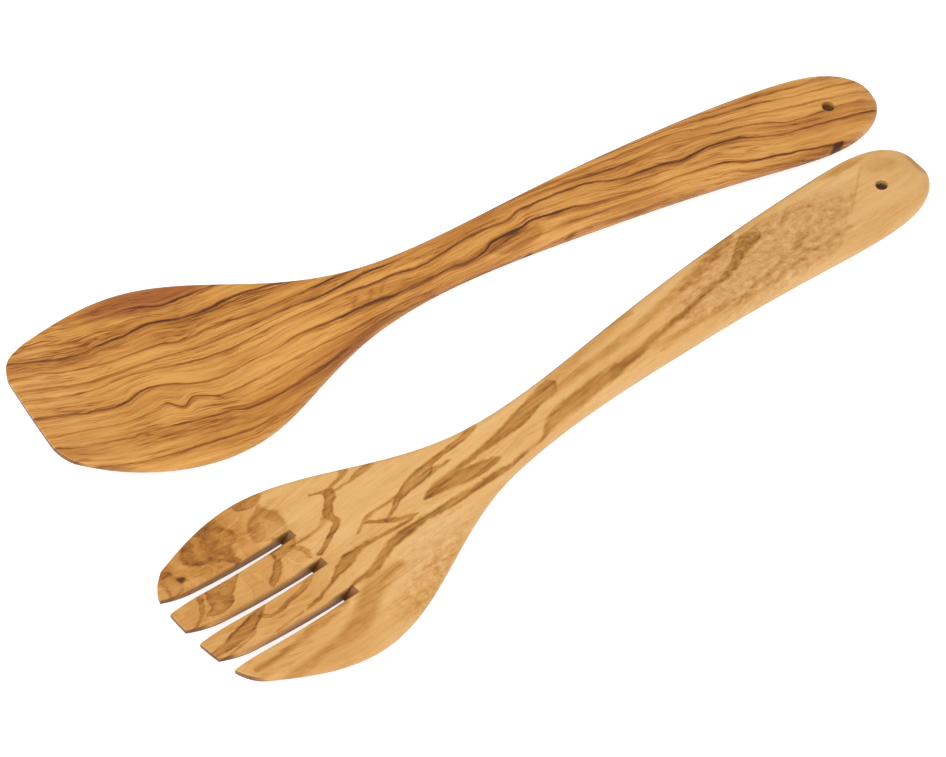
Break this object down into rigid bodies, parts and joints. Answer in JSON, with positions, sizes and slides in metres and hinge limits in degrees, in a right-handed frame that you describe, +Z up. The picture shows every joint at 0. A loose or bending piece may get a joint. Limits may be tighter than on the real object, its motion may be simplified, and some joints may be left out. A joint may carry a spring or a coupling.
{
  "type": "wooden spatula and fork set",
  "caption": "Olive-wood kitchen spatula and slotted serving fork cut to one template, with bowed handles, lifted heads and a hanging hole in each.",
  "frame": {"origin": "on the table, below the middle of the two utensils' common bounding box", "axes": "+Z up from the table; +X along the fork's slots, from the tine tips to the handle; +Y from the fork to the spatula"},
  "size_m": [0.3086, 0.1594, 0.0198],
  "materials": {
    "spatula_wood": "oiled olive wood, golden brown with dark brown wavy grain lines, satin",
    "fork_wood": "oiled olive wood, pale tan with broad brown figure, satin"
  },
  "bodies": {
    "spatula": {"spatula": "spatula_wood"},
    "fork": {"fork": "fork_wood"}
  },
  "joints": [
    {"name": "fork_lift", "type": "slide", "parent": "spatula", "child": "fork", "axis": [0, 0, 1], "range_m": [0, 0.12]}
  ]
}
